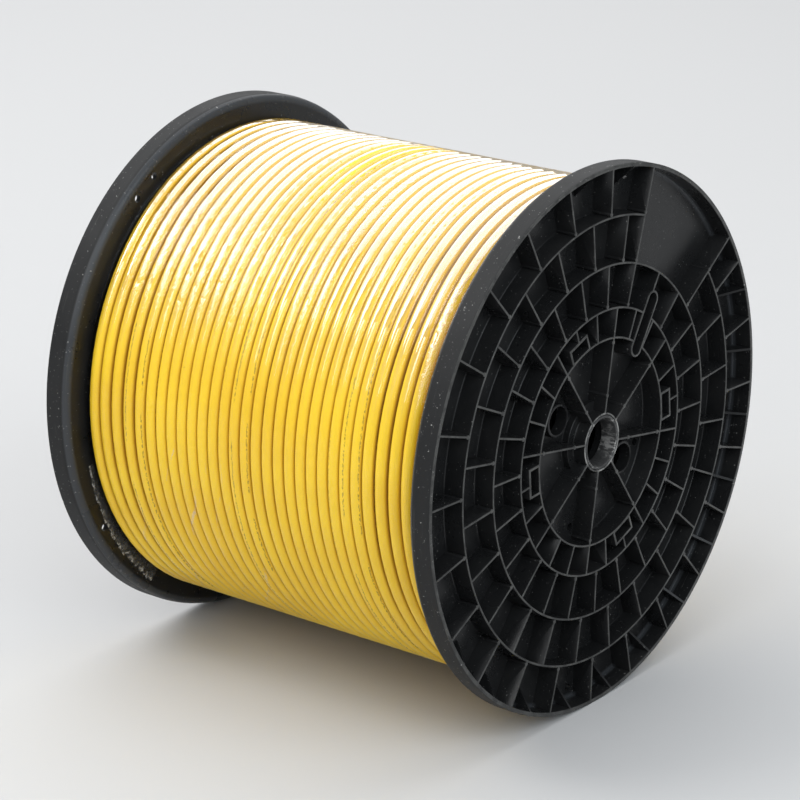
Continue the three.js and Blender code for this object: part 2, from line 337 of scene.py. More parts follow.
def combined(piece, others, operation):
    """Joins pieces to a closed piece, or cuts them out of it, all in one Boolean modifier."""
    tools = bpy.data.collections.new("tools")
    bpy.context.scene.collection.children.link(tools)
    for other in others:
        for held in list(other.users_collection):
            held.objects.unlink(other)
        tools.objects.link(other)
    only(piece)
    modifier = piece.modifiers.new("combine", "BOOLEAN")
    modifier.operation = operation
    modifier.operand_type = "COLLECTION"
    modifier.collection = tools
    modifier.solver = "MANIFOLD"
    bpy.ops.object.modifier_apply(modifier=modifier.name)
    for other in others:
        bpy.data.objects.remove(other)
    bpy.data.collections.remove(tools)
    return piece


def finished(piece, name, finish, nodes, smooth=35):
    """Names a piece, shades it, gives it its finish and ties it to the frame."""
    only(piece)
    piece.name = piece.data.name = name
    bpy.ops.object.shade_smooth_by_angle(angle=math.radians(smooth))
    piece.data.materials.clear()
    piece.data.materials.append(finish)
    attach(piece, ROOT)
    if nodes:
        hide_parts(*nodes)
    return piece


# ---------------------------------------------------------------- materials


class Socket:
    """The output of a material's node, which can stand in a sum."""

    def __init__(self, finish, output):
        self.finish = finish
        self.output = output

    def math(self, operation, *operands):
        return self.finish.node("ShaderNodeMath", {"operation": operation}, dict(enumerate(operands)))

    def __add__(self, other):
        return self.math("ADD", self, other)

    def __sub__(self, other):
        return self.math("SUBTRACT", self, other)

    def __rsub__(self, other):
        return self.math("SUBTRACT", other, self)

    def __mul__(self, other):
        return self.math("MULTIPLY", self, other)

    def __abs__(self):
        return self.math("ABSOLUTE", self)

    __radd__ = __add__
    __rmul__ = __mul__


class Finish:
    """A node-based material, built from the settings and sockets of its nodes."""

    def __init__(self, name):
        self.material = bpy.data.materials.new(name)
        self.material.use_nodes = True
        self.nodes = self.material.node_tree.nodes
        self.links = self.material.node_tree.links
        self.nodes.clear()

    def node(self, kind, settings=None, sockets=None, output=0):
        made = self.nodes.new(kind)
        for name, value in (settings or {}).items():
            setattr(made, name, value)
        for key, value in (sockets or {}).items():
            if isinstance(value, Socket):
                self.links.new(value.output, made.inputs[key])
            else:
                made.inputs[key].default_value = value
        return Socket(self, made.outputs[output]) if made.outputs else made

    def places(self):
        """The object's own coordinates as a vector, and its x, y and z."""
        vector = self.node("ShaderNodeTexCoord", output="Object")
        parts = [
            self.node("ShaderNodeSeparateXYZ", None, {"Vector": vector}, output=axis) for axis in "XYZ"
        ]
        return vector, *parts

    def attribute(self, name):
        """A value that was stored at the points of the piece."""
        return self.node("ShaderNodeAttribute", {"attribute_name": name}, output="Fac")

    def stretched(self, vector, scale):
        return self.node("ShaderNodeVectorMath", {"operation": "MULTIPLY"}, {0: vector, 1: scale})

    def vector(self, x, y, z):
        return self.node("ShaderNodeCombineXYZ", None, {"X": x, "Y": y, "Z": z})

    def noise(self, vector, scale, detail=2.0, roughness=0.5, distortion=0.0):
        return self.node(
            "ShaderNodeTexNoise",
            None,
            {
                "Vector": vector,
                "Scale": scale,
                "Detail": detail,
                "Roughness": roughness,
                "Distortion": distortion,
            },
        )

    def step(self, value, start, end, low=0.0, high=1.0):
        """A smooth step from one value to another as a value goes from start to end."""
        return self.node(
            "ShaderNodeMapRange",
            {"interpolation_type": "SMOOTHSTEP"},
            {"Value": value, "From Min": start, "From Max": end, "To Min": low, "To Max": high},
        )

    def mixed(self, factor, first, second):
        return self.node(
            "ShaderNodeMix",
            {"data_type": "RGBA"},
            {0: factor, 6: solid(first), 7: solid(second)},
            output=2,
        )

    def bump(self, height, strength, distance):
        return self.node(
            "ShaderNodeBump", None, {"Height": height, "Strength": strength, "Distance": distance}
        )

    def surface(self, sockets):
        """Ends the material in a Principled shader with these sockets."""
        shader = self.node("ShaderNodeBsdfPrincipled", None, sockets)
        self.node("ShaderNodeOutputMaterial", None, {"Surface": shader})
        return self.material


def solid(value):
    """A colour with its alpha, or a socket as it is."""
    return value if isinstance(value, Socket) else (*value[:3], 1)


def flange_finish(plastic):
    """Satin black plastic: rib tops lightened partly by rubbing and partly by a painted highlight, a
    painted highlight on the rim's rounded cable-side edge, scratches round the rim, and dust on the plate.
    """
    finish = Finish("satin_black_plastic")
    vector, x, y, z = finish.places()
    radius = finish.node("ShaderNodeVectorMath", {"operation": "LENGTH"}, {0: finish.vector(x, 0, z)}, 1)
    angle = x.math("ARCTAN2", x, z)
    depth = OUTER_FACE - abs(y)
    tops = finish.step(depth, 0.9 * MM, 0.1 * MM)
    rubbed = finish.step(finish.noise(vector, 55, 5, 0.65), 0.38, 0.62)
    rim = finish.step(radius, FLANGE_RADIUS - 6 * MM, FLANGE_RADIUS - 4 * MM)
    round_the_rim = finish.vector(radius * 260, y * 260, angle * 4)
    scratches = finish.step(finish.noise(round_the_rim, 1, 4, 0.7), 0.62, 0.74)
    chips = finish.step(finish.noise(vector, 230, 3, 0.7), 0.66, 0.72) * rim
    specks = finish.step(finish.noise(vector, 420, 1, 0.5), 0.735, 0.78)
    dust = finish.step(finish.noise(vector, 14, 4, 0.6), 0.45, 0.75)
    hub = finish.step(radius, 36 * MM, 33 * MM) * tops
    face = finish.step(radius, FLANGE_RADIUS - 1.2 * MM, FLANGE_RADIUS - 0.3 * MM)
    near_rim = finish.step(radius, FLANGE_RADIUS - 11 * MM, FLANGE_RADIUS - 7 * MM)
    near_back = finish.step(depth, FLANGE_THICKNESS - 11 * MM, FLANGE_THICKNESS - 8 * MM)
    rounding = near_rim * near_back * (1 - face)
    grey = (0.060, 0.060, 0.057)
    pale = (0.36, 0.355, 0.34)
    body = finish.mixed(dust * 0.5, plastic, (0.020, 0.020, 0.020))
    # Painted highlight: the rim's rounded cable-side edge is lightened to a blue-grey, standing in for the
    # reflection of the light above and in front.
    body = finish.mixed(rounding * 0.85, body, (0.044, 0.047, 0.051))
    # Rib tops lightened: the noise share is rubbed wear, and the even share of 0.35 is a painted
    # highlight.
    body = finish.mixed(tops * (0.35 + 0.65 * rubbed), body, grey)
    body = finish.mixed(scratches * rim * 0.55, body, grey)
    body = finish.mixed(chips * 0.8 + specks * 0.35 + hub * rubbed * 0.7, body, pale)
    grain = finish.noise(vector, 900, 2, 0.6)
    waves = finish.noise(vector, 22, 2, 0.5)
    return finish.surface(
        {
            "Base Color": body,
            "Roughness": 0.27 + 0.16 * dust + 0.10 * scratches + 0.30 * face,
            "Specular IOR Level": 0.27,
            "Normal": finish.bump(grain * 0.25 + waves * 1.6 + scratches * 0.25, 0.5, 0.35 * MM),
        }
    )


def bush_finish():
    """Black plastic rubbed pale by the shaft, with scrapes along and round the bore."""
    finish = Finish("rubbed_bush_plastic")
    vector, x, y, z = finish.places()
    radius = finish.node("ShaderNodeVectorMath", {"operation": "LENGTH"}, {0: finish.vector(x, 0, z)}, 1)
    end = finish.step(OUTER_FACE - abs(y), 1.2 * MM, 0.2 * MM)
    inside = finish.step(radius, 28.8 * MM, 28.2 * MM)
    scrapes = finish.step(finish.noise(finish.stretched(vector, (1, 0.25, 1)), 190, 5, 0.75), 0.47, 0.6)
    patches = finish.step(finish.noise(vector, 45, 3, 0.6), 0.42, 0.6)
    body = finish.mixed(scrapes * patches * (0.35 + 0.65 * end) * (0.5 + 0.5 * inside),
                        (0.03, 0.03, 0.03), (0.52, 0.51, 0.49))
    return finish.surface(
        {
            "Base Color": body,
            "Roughness": 0.5 + 0.25 * scrapes,
            "Normal": finish.bump(scrapes + finish.noise(vector, 500, 2), 0.6, 0.3 * MM),
        }
    )


def barrel_finish():
    """The barrel's black plastic, a little duller than the flanges, with faint ejector waves."""
    finish = Finish("barrel_plastic")
    vector = finish.places()[0]
    dust = finish.step(finish.noise(vector, 20, 4, 0.6), 0.4, 0.75)
    return finish.surface(
        {
            "Base Color": finish.mixed(dust, (0.02, 0.02, 0.021), (0.045, 0.044, 0.042)),
            "Roughness": 0.45 + 0.2 * dust,
            "Normal": finish.bump(finish.noise(vector, 600, 3), 0.4, 0.2 * MM),
        }
    )


def sheath_finish(sheath):
    """The cable's smooth yellow sheath: a faint unevenness, painted shade between turns, dark dashes."""
    finish = Finish("yellow_sheath")
    vector = finish.places()[0]
    run = finish.attribute("run")
    outward = finish.attribute("outward")
    twist = finish.attribute("twist")
    patches = finish.noise(vector, 9, 3, 0.55)
    deep = tuple(part * share for part, share in zip(sheath, (0.80, 0.66, 0.55)))
    body = finish.mixed(finish.step(patches, 0.35, 0.7, 0.0, 0.35), sheath, deep)
    # Painted shade: the sides of each turn, where it meets its neighbours, are darkened towards brown.
    groove = finish.step(outward, 0.72, 0.2)
    body = finish.mixed(groove * 0.85, body, (0.42, 0.20, 0.02))
    # Dashes: a row of short marks that wanders slowly round the cable
    word = finish.noise(finish.vector(run * 9, 0.0, 0.0), 1, 1, 0.4)
    marks = finish.noise(finish.vector(run * 260, twist * 5, 0.0), 1, 2, 0.6)
    across = finish.step(abs(twist), 0.13, 0.09)
    dashes = across * finish.step(marks, 0.46, 0.52) * finish.step(word, 0.42, 0.45)
    body = finish.mixed(dashes * 0.6, body, (0.12, 0.08, 0.02))
    ripple = finish.noise(finish.vector(run * 6, outward, 0.0), 1, 2, 0.5)
    return finish.surface(
        {
            "Base Color": body,
            "Roughness": 0.30 + 0.12 * patches,
            "Specular IOR Level": 0.3,
            "Coat Weight": 0.3,
            "Coat Roughness": 0.06,
            "Normal": finish.bump(ripple, 0.35, 0.5 * MM),
        }
    )


def film_finish():
    """Clear stretch film in several turns: glossy, with a painted highlight on the upper crests, a light
    haze, creases and jagged ripples.
    """
    finish = Finish("clear_stretch_film")
    vector, x, y, z = finish.places()
    crease = finish.attribute("crease")
    # The angle round the reel in metres of film, its seam turned to the underside at the back
    seam = at(1, PATTERN_SEAM)
    angle = x.math("ARCTAN2", seam.z * x - seam.x * z, -seam.x * x - seam.z * z)
    around = PATTERN_RADIUS * angle
    swells = finish.noise(finish.vector(around * 5, (y - 0.1 * around) * 62, 0.0), 1, 2, 0.5)
    strokes = finish.noise(finish.vector(around * 42, (y - 0.35 * around) * 480, 0.0), 1, 3, 0.65)
    ripples = finish.noise(finish.vector(around * 120, (y - 0.1 * around) * 210, 0.0), 1, 3, 0.6, 0.8)
    wrinkled = finish.attribute("wrinkle") * finish.step(finish.noise(vector, 45, 2), 0.36, 0.52)
    milky = finish.step(crease * (0.4 + 1.0 * ripples), 0.35, 0.8)
    # Painted highlight: the film's white mirror layer is made strong on the crests of the upper side, in
    # bands that narrow and fray lower down, and is almost taken away lower down and between the turns; the
    # lamps' real reflections show in it.
    painted_upper_highlight = finish.step(z, 0.06, 0.20, 0.04, 1.0)
    narrow = finish.step(z, 0.28, 0.12, 0.0, 0.42)
    ragged = (swells - 0.5) * 0.5 + (strokes - 0.5) * wrinkled * 1.6
    band = finish.step(finish.attribute("crest") - narrow + ragged, 0.34, 0.46, 0.10, 1.0)
    gloss = finish.node("ShaderNodeFresnel", None, {"IOR": 1.45}) * 4.4
    sheen = x.math("MINIMUM", gloss, 0.18 + 0.40 * finish.step(z, 0.17, 0.27)) * painted_upper_highlight * band
    return finish.surface(
        {
            "Base Color": (0.97, 0.96, 0.94, 1),
            "Metallic": 1.0,
            "Roughness": 0.05 + 0.06 * wrinkled + 0.2 * milky,
            "Alpha": sheen + 0.03 * wrinkled * ripples + 0.22 * milky,
            "Normal": finish.bump(
                swells * 0.9 + (0.6 * strokes + 0.15 * ripples) * wrinkled + crease * 0.5,
                0.9, 1.6 * MM
            ),
        }
    )


def torn_finish():
    """Loose film: faint, with a crumpled, milky free edge."""
    finish = Finish("torn_film")
    vector = finish.places()[0]
    crumple = finish.noise(vector, 240, 3, 0.7)
    haze = finish.step(crumple, 0.5, 0.7)
    edge = finish.step(finish.attribute("edge"), 0.55, 1.0) * finish.step(crumple, 0.46, 0.62)
    return finish.surface(
        {
            "Base Color": (0.52, 0.51, 0.48, 1),
            "Roughness": 0.25 + 0.3 * crumple,
            "Alpha": 0.03 + 0.10 * haze + 0.60 * edge,
            "Normal": finish.bump(crumple, 0.9, 1.0 * MM),
        }
    )


def floor_finish():
    """A pale seamless floor with the faintest mottle."""
    finish = Finish("pale_floor")
    vector = finish.places()[0]
    mottle = finish.noise(vector, 3, 4, 0.6)
    return finish.surface(
        {
            "Base Color": finish.mixed(mottle * 0.1, (0.54, 0.54, 0.54), (0.51, 0.51, 0.51)),
            "Roughness": 0.85 + 0.1 * mottle,
            "Specular IOR Level": 0.1,
            "Normal": finish.bump(finish.noise(vector, 80, 3), 0.05, 1 * MM),
        }
    )


# ---------------------------------------------------------------- stage


def soft_light(name, place, width, height, watts, tint=(1, 1, 1)):
    """A large soft light that faces the middle of the reel."""
    bpy.ops.object.light_add(type="AREA", location=place)
    light = bpy.context.object
    light.name = name
    light.rotation_euler = (-place).to_track_quat("-Z", "Y").to_euler()
    light.data.shape = "RECTANGLE"
    light.data.size = width
    light.data.size_y = height
    light.data.energy = watts
    light.data.color = tint


class REEL_OT_stage(bpy.types.Operator):
    """Adds the camera, the pale floor and the soft light"""

    bl_idname = "reel.stage"
    bl_label = "Stage"

    def execute(self, context):
        scene = context.scene
        place = Vector((-2.660, -2.077, 1.157))
        looks_along = Vector((0.7436, 0.5834, -0.3265))
        bpy.ops.object.camera_add(location=place)
        camera = context.object
        camera.name = "camera"
        camera.rotation_euler = looks_along.to_track_quat("-Z", "Y").to_euler()
        camera.data.sensor_width = 36
        camera.data.lens = 137.7
        camera.data.clip_end = 100
        scene.camera = camera

        deselect_all()
        bpy.ops.mesh.primitive_grid_add(x_subdivisions=8, y_subdivisions=8, size=60)
        floor = context.object
        floor.name = floor.data.name = "floor"
        floor.data.transform(Matrix.Translation((0, 0, -FLANGE_RADIUS - 0.2 * MM)))
        floor.data.materials.append(floor_finish())

        soft_light("softbox", Vector((1.2, 2.2, 4.4)), 10, 10, 440)
        soft_light("key", Vector((-2.4, 2.4, 4.0)), 1.9, 2.6, 75)
        soft_light("side_fill", Vector((-4.8, -1.2, 3.4)), 3, 3, 85)
        soft_light("front_sky", Vector((-1.65, -4.3, 3.0)), 5, 4, 157, tint=(0.88, 0.95, 1.0))

        world = bpy.data.worlds.new("studio")
        world.use_nodes = True
        sky = world.node_tree.nodes["Background"].inputs
        sky["Color"].default_value = (0.93, 0.96, 1.0, 1)
        sky["Strength"].default_value = 0.42
        scene.world = world
        scene.view_settings.view_transform = "Standard"
        return {"FINISHED"}


# ---------------------------------------------------------------- flanges


def in_panel(angle):
    return PANEL[0] + 0.1 < angle % 360 < PANEL[1] - 0.1


def flange_outline(sizes):
    """Hub, plate and rim as one outline of (radius, y) points in the flange's own frame."""
    edge = sizes.edge
    seat = sizes.bore + sizes.bush + 0.4 * MM
    hub = seat + sizes.hub
    foot = hub + 10.3 * MM
    shoulder = sizes.bore + 1.5 * MM
    plate = FLANGE_THICKNESS - sizes.plate
    foot_top = plate - COLLAR_HEIGHT
    rim = FLANGE_RADIUS - sizes.rim
    outer = FLANGE_RADIUS
    back = FLANGE_THICKNESS
    fillet = 1.2 * MM
    return [
        (seat, 0.9 * MM),
        (seat + 0.7 * MM, 0.1 * MM),
        (hub - edge, 0),
        (hub, edge),
        *arc((hub + fillet, foot_top - fillet), fillet, 180, 90, 3),
        (foot - edge, foot_top),
        (foot, foot_top + edge),
        *arc((foot + fillet, plate - fillet), fillet, 180, 90, 3),
        *arc((rim - 0.5 * MM - fillet, plate - fillet), fillet, 90, 0, 3),
        (rim, edge),
        (rim + edge, 0),
        *arc((outer - 0.9 * MM, 0.9 * MM), 0.9 * MM, -90, 0, 3),
        (outer, 4 * MM),
        (outer, back - sizes.rim_round - 1 * MM),
        *arc((outer - sizes.rim_round, back - sizes.rim_round), sizes.rim_round, 0, 90, 8),
        (outer - sizes.rim_round - 0.8 * MM, back),
        (shoulder + edge, back),
        (shoulder, back - edge),
        (shoulder, BUSH_LENGTH + 0.3 * MM),
        (seat, BUSH_LENGTH + 0.3 * MM),
    ]


def wall_outline(radius, sizes):
    """A ring wall's outline: rounded at the top, a little thicker and filleted at its root."""
    top = sizes.rib / 2 - 0.2 * MM
    root = sizes.rib / 2 + 0.2 * MM
    edge = sizes.edge
    fillet = 1.6 * MM
    plate = FLANGE_THICKNESS - sizes.plate
    return [
        (radius - top, edge),
        (radius - top + edge, 0),
        (radius + top - edge, 0),
        (radius + top, edge),
        *arc((radius + root + fillet, plate - fillet), fillet, 180, 90, 3),
        (radius + root + fillet, plate + 1 * MM),
        (radius - root - fillet, plate + 1 * MM),
        *arc((radius - root - fillet, plate - fillet), fillet, 90, 0, 3),
    ]


def rib_copies(name, radii, sizes, angles, nub=False):
    """Ribs of one annulus, with a small pillar at their inner ends where it has one."""
    base = FLANGE_THICKNESS - sizes.plate + 1 * MM
    rib = block(name, radii, (0, base), sizes.rib + 0.2 * MM, edge=sizes.edge, draft=0.3 * MM)
    made = copies(rib, angles)
    if nub:
        place = radii[0] + sizes.rib / 2 + sizes.nub * 0.8
        pillar = bar(name + "_nub", sizes.nub, (0, base), place, sides=16, edge=0.5 * MM)
        made += copies(pillar, angles)
    return made


def flange_ribs(sizes):
    even = [EVEN_START + RIB_STEP * k for k in range(RIB_COUNT)]
    odd = [ODD_START + RIB_STEP * k for k in range(RIB_COUNT)]
    spokes = [SPOKE_START + 360 / SPOKE_COUNT * k for k in range(SPOKE_COUNT)]
    base = FLANGE_THICKNESS - sizes.plate + 1 * MM
    hub = sizes.bore + sizes.bush + sizes.hub
    rim = FLANGE_RADIUS - sizes.rim / 2
    made = rib_copies("spoke", (hub - 1 * MM, sizes.ring_1), sizes, spokes)
    for place in SPOKE_PILLARS:
        pillar = bar("spoke_nub", sizes.nub, (0, base), place, sides=16, edge=0.5 * MM)
        made += copies(pillar, spokes)
    made += rib_copies("rib_1", (sizes.ring_1, sizes.ring_2), sizes, even)
    made += rib_copies("rib_2", (sizes.ring_2, sizes.ring_3), sizes, odd, nub=True)
    outer_even = [a for a in even if not in_panel(a)] + [PANEL[1]]
    outer_odd = [a for a in odd if not in_panel(a)] + [PANEL[0]]
    made += rib_copies("rib_3", (sizes.ring_3, sizes.ring_4), sizes, outer_even, nub=True)
    made += rib_copies("rib_4", (sizes.ring_4, rim), sizes, outer_odd, nub=True)
    return made


def flange_gussets(sizes):
    """Three-cornered stiffeners between rim and plate: a block cut off along a slope."""
    plate = FLANGE_THICKNESS - sizes.plate
    rim = FLANGE_RADIUS - sizes.rim
    foot = rim - GUSSET_LENGTH
    gusset = block("gusset", (foot, rim + 2 * MM), (0, plate + 1 * MM), sizes.rib)
    open_mesh(gusset)
    slope = Vector((plate, rim - foot, 0)).normalized()
    bpy.ops.mesh.bisect(plane_co=(foot, plate, 0), plane_no=slope, use_fill=True, clear_inner=True)
    close_mesh()
    face_outwards(gusset)
    angles = [EVEN_START + RIB_STEP * k for k in range(RIB_COUNT)]
    clear = [a for a in angles if a != PANEL[0] and not in_panel(a)]
    return copies(gusset, clear)


def slot_bar(name, half_width, heights, edge=0.0):
    """A bar with round ends over the cable slot: a round one pulled apart along the slot."""
    piece = bar(name, half_width, heights, 0, sides=32, edge=edge)
    for vertex in piece.data.vertices:
        if abs(vertex.co.x) > 1e-5:
            vertex.co.x += math.copysign(SLOT_STRAIGHT / 2, vertex.co.x)
        else:
            vertex.co.x = 0
    piece.data.transform(Matrix.Translation(at(*SLOT_MIDDLE)) @ turn(SLOT_ALONG))
    return piece


def near_flange(sizes):
    """The moulded flange in its own frame."""
    base = FLANGE_THICKNESS - sizes.plate + 1 * MM
    plate = FLANGE_THICKNESS - sizes.plate
    half = sizes.rib / 2
    clip_room = 16.2 * MM
    socket_outer = 136.4 * MM
    through = (-1 * MM, FLANGE_THICKNESS + 1 * MM)
    flange = spun("near_flange", flange_outline(sizes))
    rings = [
        spun("ring", wall_outline(radius, sizes)) for radius in (sizes.ring_1, sizes.ring_2, sizes.ring_3)
    ]
    sweep = 360 - (PANEL[1] - PANEL[0])
    rings.append(
        spun("broken_ring", wall_outline(sizes.ring_4, sizes), RIM_STEPS - 20, PANEL[1], sweep)
    )
    sockets = copies(
        block("socket", (sizes.ring_1, socket_outer + half), (0, base), 2 * (clip_room + half),
              edge=sizes.edge),
        CLIP_ANGLES,
    )
    collars = copies(
        bar("drive_collar", 19.5 * MM, (plate - COLLAR_HEIGHT, base), DRIVE_HOLE_PLACE, sides=40,
            edge=0.8 * MM),
        DRIVE_HOLE_ANGLES,
    )
    slot_collar = slot_bar("slot_collar", SLOT_HALF + 2.4 * MM, (0, base), edge=sizes.edge)
    combined(
        flange,
        rings + flange_ribs(sizes) + flange_gussets(sizes) + sockets + collars + [slot_collar],
        "UNION",
    )
    rooms = copies(
        block("room", (sizes.ring_1 + half, socket_outer - half), (-1 * MM, plate),
              2 * (clip_room - half)),
        CLIP_ANGLES,
    )
    clip_holes = copies(
        block("clip_hole", (128 * MM, 134 * MM), (plate - 1 * MM, through[1]), 26 * MM), CLIP_ANGLES
    )
    drive_holes = copies(
        bar("drive_hole", 16.5 * MM, through, DRIVE_HOLE_PLACE, sides=40), DRIVE_HOLE_ANGLES
    )
    tie_holes = copies(bar("tie_hole", SMALL_HOLE_RADIUS, through, TIE_HOLE_PLACE), TIE_HOLE_ANGLES)
    pins = [bar("pin_hole", SMALL_HOLE_RADIUS, through, place, angle) for place, angle in PIN_HOLES]
    slot = slot_bar("slot", SLOT_HALF, through)
    combined(flange, rooms + clip_holes + drive_holes + tie_holes + pins + [slot], "DIFFERENCE")
    flange.data.transform(Matrix.Translation((0, -OUTER_FACE, 0)))
    return flange


class REEL_OT_flanges(bpy.types.Operator):
    """Models the near flange with its rings, ribs, gussets and holes, and turns it over for the far one"""

    bl_idname = "reel.flanges"
    bl_label = "Flanges"

    def execute(self, context):
        sizes = context.scene.reel_flange
        near = near_flange(sizes)
        far = copied(near, TURN_OVER)
        finish = flange_finish(sizes.plastic)
        finished(near, "flange_near", finish, ["near_flange"])
        finished(far, "flange_far", finish, ["far_flange"])
        return {"FINISHED"}


class REEL_OT_bushes(bpy.types.Operator):
    """Models the bushes of the bore, each with a lead-in and a rounded outer end"""

    bl_idname = "reel.bushes"
    bl_label = "Arbor bushes"

    def execute(self, context):
        sizes = context.scene.reel_flange
        bore = sizes.bore
        outside = bore + sizes.bush
        outline = [
            *arc((bore + 0.8 * MM, 0.8 * MM), 0.8 * MM, 180, 270, 3),
            *arc((outside - 0.9 * MM, 0.9 * MM), 0.9 * MM, 270, 360, 3),
            (outside, BUSH_LENGTH),
            (bore + 0.6 * MM, BUSH_LENGTH),
            (bore, BUSH_LENGTH - 0.6 * MM),
        ]
        near = spun("bush", outline, 96)
        near.data.transform(Matrix.Translation((0, -OUTER_FACE, 0)))
        far = copied(near, TURN_OVER)
        finish = bush_finish()
        finished(near, "arbor_bush_near", finish, ["near_arbor_bush"])
        finished(far, "arbor_bush_far", finish, ["far_arbor_bush"])
        return {"FINISHED"}


# ---------------------------------------------------------------- barrel and winding


def clip_piece(angle, sizes, plate):
    """A clip at the near end of the barrel: its arm, its sloped nose and its pad."""
    outer = sizes.barrel - 17 * MM
    inner = outer - 4 * MM
    width = 24 * MM
    reach = 20 * MM
    half = CABLE_FACE - 0.3 * MM
    catch = -OUTER_FACE + FLANGE_THICKNESS - plate - 0.3 * MM
    top = catch - 4 * MM
    arm = block("arm", (inner, outer), (top, -half + reach), width, angle, edge=0.6 * MM)
    nose = block("nose", (inner - 4.5 * MM, inner + 1 * MM), (top, catch), width, edge=0.8 * MM)
    for vertex in nose.data.vertices:
        if vertex.co.x < inner - 3.6 * MM and vertex.co.y < catch - 1 * MM:
            vertex.co.y += 1.6 * MM
    nose.data.transform(turn(angle))
    pad = block("pad", (inner + 1 * MM, sizes.barrel - sizes.barrel_wall / 2), (-half, -half + reach),
                width - 0.4 * MM, angle)
    return [arm, nose, pad]


def barrel_half(name, middle, sizes, plate):
    """Half of the barrel with the seam's lips and its clips at both ends."""
    inner = sizes.barrel - sizes.barrel_wall
    half = CABLE_FACE - 0.3 * MM
    edge = 0.5 * MM
    lip_width = 4.5 * MM
    seam = 0.15 * MM
    outline = [
        (inner, -half), (sizes.barrel - edge, -half), (sizes.barrel, -half + edge),
        (sizes.barrel, half - edge), (sizes.barrel - edge, half), (inner, half),
    ]
    gap = 0.06  # degrees
    shell = spun(name, outline, 64, middle - 90 + gap, 180 - 2 * gap)
    lips = []
    for side in (-1, 1):
        lip = block("lip", (inner - 12 * MM, inner + 2 * MM), (-half, half), lip_width)
        lip.data.transform(Matrix.Translation((0, 0, -side * (lip_width / 2 + seam))))
        lip.data.transform(turn(middle + side * 90))
        lips.append(lip)
    clips = []
    for angle in CLIP_ANGLES:
        if math.cos(math.radians(angle - middle)) > 0:
            clips += clip_piece(angle, sizes, plate)
    mirrored = []
    for clip in clips:
        mirrored.append(face_outwards(copied(clip, Matrix.Diagonal((1, -1, 1, 1)))))
    return combined(shell, lips + clips + mirrored, "UNION")


class REEL_OT_barrel(bpy.types.Operator):
    """Models the two half shells of the barrel and their clips"""

    bl_idname = "reel.barrel"
    bl_label = "Barrel"

    def execute(self, context):
        sizes = context.scene.reel_winding
        plate = context.scene.reel_flange.plate
        finish = barrel_finish()
        for side, middle in (("left", MIRROR_ANGLE + 90), ("right", MIRROR_ANGLE - 90)):
            piece = barrel_half("barrel_" + side, middle, sizes, plate)
            finished(piece, "barrel_shell_" + side, finish, ["barrel_half_" + side])
        return {"FINISHED"}


def helix(name, outline, closed, radius, pitch, turns, steps):
    """An outline carried round the axis as a screw, from the near end towards the far end."""
    piece = outline_piece(name, [(radius + r, y) for r, y in outline], filled=False)
    only(piece)
    if not closed:
        open_mesh(piece, "DESELECT")
        close_mesh()
        last = {0, len(outline) - 1}
        for edge in piece.data.edges:
            edge.select = set(edge.vertices) == last
        for vertex in piece.data.vertices:
            vertex.select = False
        bpy.ops.object.mode_set(mode="EDIT")
        bpy.ops.mesh.select_mode(type="EDGE")
        bpy.ops.mesh.delete(type="EDGE")
        close_mesh()
    piece.data.transform(turn(WINDING_START))
    screw = piece.modifiers.new("wind", "SCREW")
    screw.axis = "Y"
    screw.angle = 2 * math.pi
    screw.screw_offset = pitch
    screw.iterations = turns
    screw.steps = screw.render_steps = steps
    screw.use_merge_vertices = False
    screw.use_smooth_shade = True
    bpy.ops.object.modifier_apply(modifier=screw.name)
    return piece


def section(radius, sides):
    """The cable's round section."""
    return [
        (radius * math.cos(2 * math.pi * k / sides), radius * math.sin(2 * math.pi * k / sides))
        for k in range(sides)
    ]


def close_ends(piece):
    only(piece)
    bpy.ops.object.mode_set(mode="EDIT")
    bpy.ops.mesh.select_mode(type="EDGE")
    bpy.ops.mesh.select_all(action="DESELECT")
    bpy.ops.mesh.select_non_manifold()
    bpy.ops.mesh.fill_holes(sides=0)
    bpy.ops.mesh.select_all(action="SELECT")
    bpy.ops.mesh.normals_make_consistent(inside=False)
    close_mesh()
    return piece


def eased(value, start, end):
    """A smooth step from 0 to 1 as a value goes from start to end."""
    share = max(0.0, min(1.0, (value - start) / (end - start)))
    return share * share * (3 - 2 * share)


def laid(number, sizes):
    """Where a turn's middle lies along the axis, and how far it sank towards the axis.

    The turns at both ends are squeezed, and the ones next to them lie loosely. The last numbers in
    each line are turns, and the first is in millimetres.
    """
    spread = -2.8 * eased(number, 0, 1.2)
    spread += 6.4 * eased(number, 1.2, 5)
    spread += 8.0 * eased(number, 24.5, 29.2)
    share = number / (sizes.turns - 1)
    wander = 0.45 * math.sin(number * 5.9) + 0.35 * math.sin(number * 13.1 + 1)
    room = 2 * CABLE_FACE - sizes.cable - 8.6 * MM
    place = sizes.cable / 2 + share * room + (spread + wander * math.sin(math.pi * share)) * MM
    sunk = 4.0 * eased(number, 1.15, 0.35) + 3.0 * eased(number, 29.75, 30.0)
    return place - CABLE_FACE, sunk * MM


def layer_radius(layer, sizes):
    """From the axis to the middle of the cable in a layer."""
    return sizes.barrel + sizes.cable / 2 + layer * sizes.cable * math.sqrt(3) / 2


